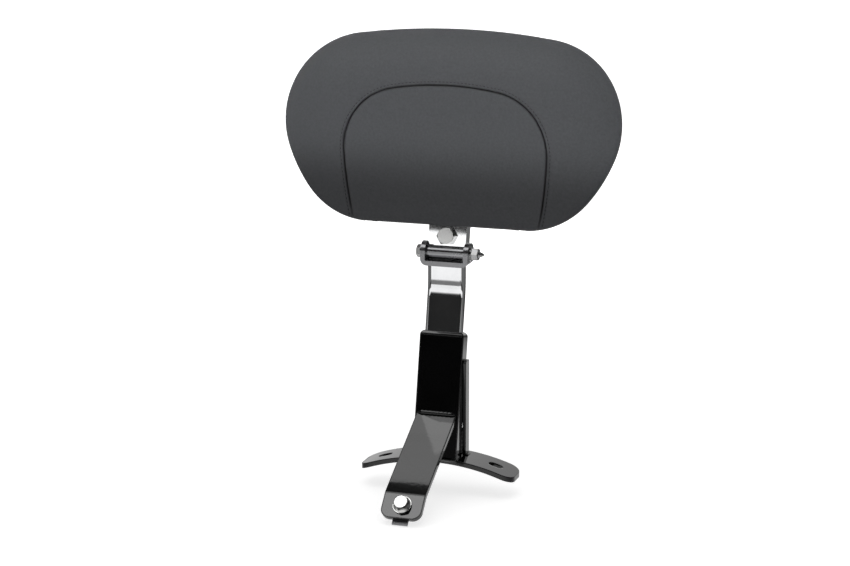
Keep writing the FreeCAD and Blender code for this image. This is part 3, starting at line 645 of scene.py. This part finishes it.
def makeBead(bm, path, radius, settings):
    # A weld bead: a ring drawn along the path, swelling and shrinking with each ripple
    ripple = settings["ripple"]
    runs = list(zip(path[:-1], path[1:]))
    total = sum((end - start).length for start, end in runs)
    steps = max(int(total / ripple * settings["perRipple"]), settings["fewest"])
    ring = bmesh.ops.create_circle(bm, cap_ends=True, segments=10, radius=1.0)["verts"]
    edges = list({edge for vert in ring for edge in vert.link_edges})
    before = None
    for step in range(steps + 1):
        distance = total * step / steps
        for start, end in runs:
            if distance <= (end - start).length + 1e-9:
                break
            distance -= (end - start).length
        along = end - start
        spot = start + along.normalized() * min(distance, along.length)
        share = step / steps
        taper = min(1.0, settings["endWidth"] + settings["endRise"] * min(share, 1.0 - share))
        swell = settings["swell"] * abs(math.cos(math.pi * total * share / ripple))
        width = radius * taper * (1.0 - settings["swell"] + swell)
        turn = along.to_track_quat("Z", "Y").to_matrix().to_4x4()
        now = Matrix.Translation(spot) @ turn @ Matrix.Diagonal((width, width, width, 1))
        if before is None:
            bmesh.ops.transform(bm, matrix=now, verts=ring)
        else:
            made = bmesh.ops.extrude_edge_only(bm, edges=edges)["geom"]
            edges = [item for item in made if isinstance(item, bmesh.types.BMEdge)]
            ring = [item for item in made if isinstance(item, bmesh.types.BMVert)]
            bmesh.ops.transform(bm, matrix=now @ before.inverted(), verts=ring)
        before = now
    bmesh.ops.contextual_create(bm, geom=edges)


weldSettings = {
    "ripple": 0.0042, "perRipple": 4, "fewest": 8,
    # width at both ends and how fast it grows from there, then the share that comes and goes with a ripple
    "endWidth": 0.45, "endRise": 6.0, "swell": 0.14,
    # radius of the bead and the points that it runs through
    "beads": [
        # under and on top of the leg, where it meets the receiver's face
        (0.0025, [(-0.0192, -0.0119, 0.0530), (0.0192, -0.0119, 0.0530)]),
        (0.0020, [(-0.0180, -0.0130, 0.0462), (0.0180, -0.0130, 0.0462)]),
        # round the receiver's foot: front, back and left
        (0.0020, [(-0.0215, -0.0200, 0.0092), (-0.0110, -0.0204, 0.0100),
                  (0.0110, -0.0204, 0.0100), (0.0215, -0.0200, 0.0092)]),
        (0.0020, [(-0.0215, -0.0042, 0.0092), (-0.0110, -0.0040, 0.0100),
                  (0.0110, -0.0040, 0.0100), (0.0215, -0.0042, 0.0092)]),
        (0.0018, [(-0.0223, -0.0195, 0.0090), (-0.0223, -0.0046, 0.0090)]),
        # the brace: its foot, its front edge and its upper rear edge
        (0.0017, [(0.0262, 0.0020, 0.0084), (0.0262, 0.0115, 0.0084)]),
        (0.0019, [(0.0212, -0.0012, 0.0085), (0.0217, 0.0012, 0.0370)]),
        (0.0013, [(0.0228, 0.0125, 0.0700), (0.0228, 0.0125, 0.0980)]),
    ],
}


def makeWelds(settings):
    bm = bmesh.new()
    for radius, path in settings["beads"]:
        makeBead(bm, [Vector(point) for point in path], radius, settings)
    bmesh.ops.recalc_face_normals(bm, faces=bm.faces)
    addPiece("bracketWelds", bm, "paint", "bracket")


makeWelds(weldSettings)
print("weld beads laid")


stageSettings = {
    "drop": 0.0005, "size": 7.0, "shade": 0.80,
    "glow": {"near": 0.64, "far": 1.0, "from": 0.22, "to": 0.85},
    # what polished metal sees of the floor: place along Y and brightness
    "polished": [(-5.0, 0.95), (-2.6, 0.95), (-1.96, 0.97), (-1.95, 0.20), (-1.10, 0.20),
                 (-1.09, 1.0), (0.50, 1.0), (0.62, 0.14), (5.0, 0.14)],
    # and how it darkens to both sides of the strip that the camera's view is mirrored along
    "sideSlope": -0.32, "sides": [(-5.0, 1.0), (0.06, 1.0), (0.16, 0.14), (8.0, 0.14)],
}


def addStops(tree, source, stops):
    # Brightness along one coordinate, from the first stop's place to the last one's
    first, last = stops[0][0], stops[-1][0]
    spread = addRange(tree, source, 0.0, 1.0)
    spread.inputs["From Min"].default_value = first
    spread.inputs["From Max"].default_value = last
    return addRamp(tree, spread.outputs["Result"], [((place - first) / (last - first), (value,) * 3)
                                                    for place, value in stops])


def addMath(tree, operation, *values):
    node = tree.nodes.new("ShaderNodeMath")
    node.operation = operation
    for socket, value in zip(node.inputs, values):
        if isinstance(value, bpy.types.NodeSocket):
            tree.links.new(value, socket)
        else:
            socket.default_value = value
    return node.outputs[0]


def mixShaders(tree, factor, first, second):
    mix = tree.nodes.new("ShaderNodeMixShader")
    tree.links.new(factor, mix.inputs[0])
    tree.links.new(first.outputs[0], mix.inputs[1])
    tree.links.new(second.outputs[0], mix.inputs[2])
    return mix


def makeFloor(settings):
    bm = bmesh.new()
    bmesh.ops.create_grid(bm, x_segments=1, y_segments=1, size=settings["size"])
    level = min(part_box("clip_nut")[0].z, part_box("foot_bolt")[0].z) - settings["drop"]
    bmesh.ops.translate(bm, verts=bm.verts, vec=(0, 0, level))
    data = bpy.data.meshes.new("floor")
    bm.to_mesh(data)
    bm.free()
    floor = bpy.data.objects.new("floor", data)
    scene.collection.objects.link(floor)
    material = bpy.data.materials.new("whitePaper")
    material.use_nodes = True
    tree = material.node_tree
    tree.nodes.clear()
    out = tree.nodes.new("ShaderNodeOutputMaterial")
    path = tree.nodes.new("ShaderNodeLightPath")
    place = tree.nodes.new("ShaderNodeTexCoord")
    split = tree.nodes.new("ShaderNodeSeparateXYZ")
    tree.links.new(place.outputs["Object"], split.inputs[0])
    away = tree.nodes.new("ShaderNodeVectorMath")
    away.operation = "LENGTH"
    tree.links.new(place.outputs["Object"], away.inputs[0])
    paper = tree.nodes.new("ShaderNodeBsdfDiffuse")
    paper.inputs["Color"].default_value = (settings["shade"],) * 3 + (1.0,)
    halo = settings["glow"]
    glow = tree.nodes.new("ShaderNodeEmission")
    fade = addRange(tree, away.outputs["Value"], halo["near"], halo["far"])
    fade.inputs["From Min"].default_value = halo["from"]
    fade.inputs["From Max"].default_value = halo["to"]
    tree.links.new(fade.outputs["Result"], glow.inputs["Strength"])
    lit = tree.nodes.new("ShaderNodeAddShader")
    tree.links.new(paper.outputs[0], lit.inputs[0])
    tree.links.new(glow.outputs[0], lit.inputs[1])
    seen = addStops(tree, split.outputs["Y"], settings["polished"])
    beside = addMath(tree, "ABSOLUTE", split.outputs["X"])
    ahead = addMath(tree, "ABSOLUTE", split.outputs["Y"])
    aside = addMath(tree, "MULTIPLY_ADD", ahead, settings["sideSlope"], beside)
    sides = addStops(tree, aside, settings["sides"])
    polished = tree.nodes.new("ShaderNodeEmission")
    tree.links.new(seen.outputs["Color"], polished.inputs["Color"])
    tree.links.new(sides.outputs["Color"], polished.inputs["Strength"])
    byCamera = mixShaders(tree, path.outputs["Is Camera Ray"], paper, lit)
    byGlossy = mixShaders(tree, path.outputs["Is Glossy Ray"], byCamera, polished)
    tree.links.new(byGlossy.outputs[0], out.inputs["Surface"])
    data.materials.append(material)


worldSettings = {
    "fill": 0.64,
    # what polished metal sees of the room, from the front wall (-1) to the back wall (1)
    "walls": [(-1.0, 0.018), (-0.55, 0.02), (-0.35, 0.13), (0.30, 0.13), (0.82, 0.30),
              (0.91, 1.0), (1.0, 1.0)],
    # a pale dado runs along the front wall up to this height, where 0 is level
    "dado": [(-1.0, 1.0), (0.055, 1.0), (0.085, 0.0), (1.0, 0.0)],
    "dadoWall": [(-1.0, 1.0), (-0.60, 1.0), (-0.45, 0.0), (1.0, 0.0)],
}


def makeWorld(settings):
    # White where the camera looks, a dark front and a white back wall where metal and paint look
    world = bpy.data.worlds.new("studio")
    scene.world = world
    world.use_nodes = True
    tree = world.node_tree
    tree.nodes.clear()
    out = tree.nodes.new("ShaderNodeOutputWorld")
    path = tree.nodes.new("ShaderNodeLightPath")
    place = tree.nodes.new("ShaderNodeTexCoord")
    split = tree.nodes.new("ShaderNodeSeparateXYZ")
    tree.links.new(place.outputs["Generated"], split.inputs[0])
    walls = addStops(tree, split.outputs["Y"], settings["walls"])
    dado = addStops(tree, split.outputs["Z"], settings["dado"])
    front = addStops(tree, split.outputs["Y"], settings["dadoWall"])
    share = addMath(tree, "MULTIPLY", dado.outputs["Color"], front.outputs["Color"])
    both = tree.nodes.new("ShaderNodeMix")
    both.data_type = "RGBA"
    both.inputs["B"].default_value = (1, 1, 1, 1)
    tree.links.new(share, both.inputs["Factor"])
    tree.links.new(walls.outputs["Color"], both.inputs["A"])
    room = tree.nodes.new("ShaderNodeBackground")
    tree.links.new(both.outputs["Result"], room.inputs["Color"])
    fill = tree.nodes.new("ShaderNodeBackground")
    fill.inputs["Strength"].default_value = settings["fill"]
    white = tree.nodes.new("ShaderNodeBackground")
    white.inputs["Strength"].default_value = 1.0
    white.inputs["Color"].default_value = (1, 1, 1, 1)
    byGlossy = mixShaders(tree, path.outputs["Is Glossy Ray"], fill, room)
    byCamera = mixShaders(tree, path.outputs["Is Camera Ray"], byGlossy, white)
    tree.links.new(byCamera.outputs[0], out.inputs["Surface"])


# Lamps shade the object and throw its shadow, cards are only seen in polished surfaces
lampSettings = {
    "top": {"place": (-0.10, -0.10, 1.60), "aim": (0.0, 0.0, 0.0), "size": (1.1, 1.1), "radiance": 0.6},
    # a strip light with a grid: its beam ends across the lower third of the pad
    "padStrip": {"place": (0.0, -1.3850, 0.878), "aim": (0.0, 0.0400, 0.410), "size": (0.70, 0.24),
                 "radiance": 0.80, "spread": 2.75},
}
# A card without an aim looks straight down. No two lie at one height, where only one would be seen.
cardSettings = {
    "over": {"place": (-0.425, -0.520, 1.35), "size": (1.05, 0.66), "radiance": 1.6},
    "tabCard": {"place": (-0.456, -0.625, 1.34), "size": (0.16, 0.14), "radiance": 3.4,
                "onlyFor": ["front_leg", "foot_bolt"]},
    "legCard": {"place": (-0.064, -0.0027, 0.190), "size": (0.080, 0.0855), "radiance": 2.05,
                "onlyFor": ["front_leg", "receiver_tube", "bracketWelds"]},
    "legGleam": {"place": (-0.0396, 0.0224, 0.187), "size": (0.030, 0.065), "radiance": 1.0, "turn": 28.5,
                 "onlyFor": ["front_leg", "receiver_tube", "bracketWelds"]},
    "plateCard": {"place": (-0.18, -0.54, 0.306), "aim": (-0.02, 0.0, 0.235), "size": (0.16, 0.050),
                  "radiance": 1.3},
}


def makeLight(name, settings, polishedOnly):
    data = bpy.data.lights.new(name, "AREA")
    data.shape = "RECTANGLE"
    data.size, data.size_y = settings["size"]
    data.energy = settings["radiance"] * math.pi * data.size * data.size_y
    data.spread = math.radians(settings.get("spread", 180.0))
    light = bpy.data.objects.new(name, data)
    scene.collection.objects.link(light)
    place = Vector(settings["place"])
    look = Vector(settings.get("aim", (place.x, place.y, 0.0))) - place
    turn = Matrix.Rotation(math.radians(settings.get("turn", 0.0)), 3, "Z")
    light.location = place
    light.rotation_euler = (look.to_track_quat("-Z", "Y").to_matrix() @ turn).to_euler()
    light.visible_camera = False
    light.visible_glossy = polishedOnly
    light.visible_diffuse = not polishedOnly
    if "onlyFor" in settings:
        # a card this close would also show as a bright mark in the chrome post when it is raised
        receivers = bpy.data.collections.new(name + "Receivers")
        for piece in settings["onlyFor"]:
            receivers.objects.link(nodes.get(piece) or bpy.data.objects[piece])
        light.light_linking.receiver_collection = receivers


makeFloor(stageSettings)
makeWorld(worldSettings)
for name, settings in lampSettings.items():
    makeLight(name, settings, False)
for name, settings in cardSettings.items():
    makeLight(name, settings, True)
print("stage and lights set")
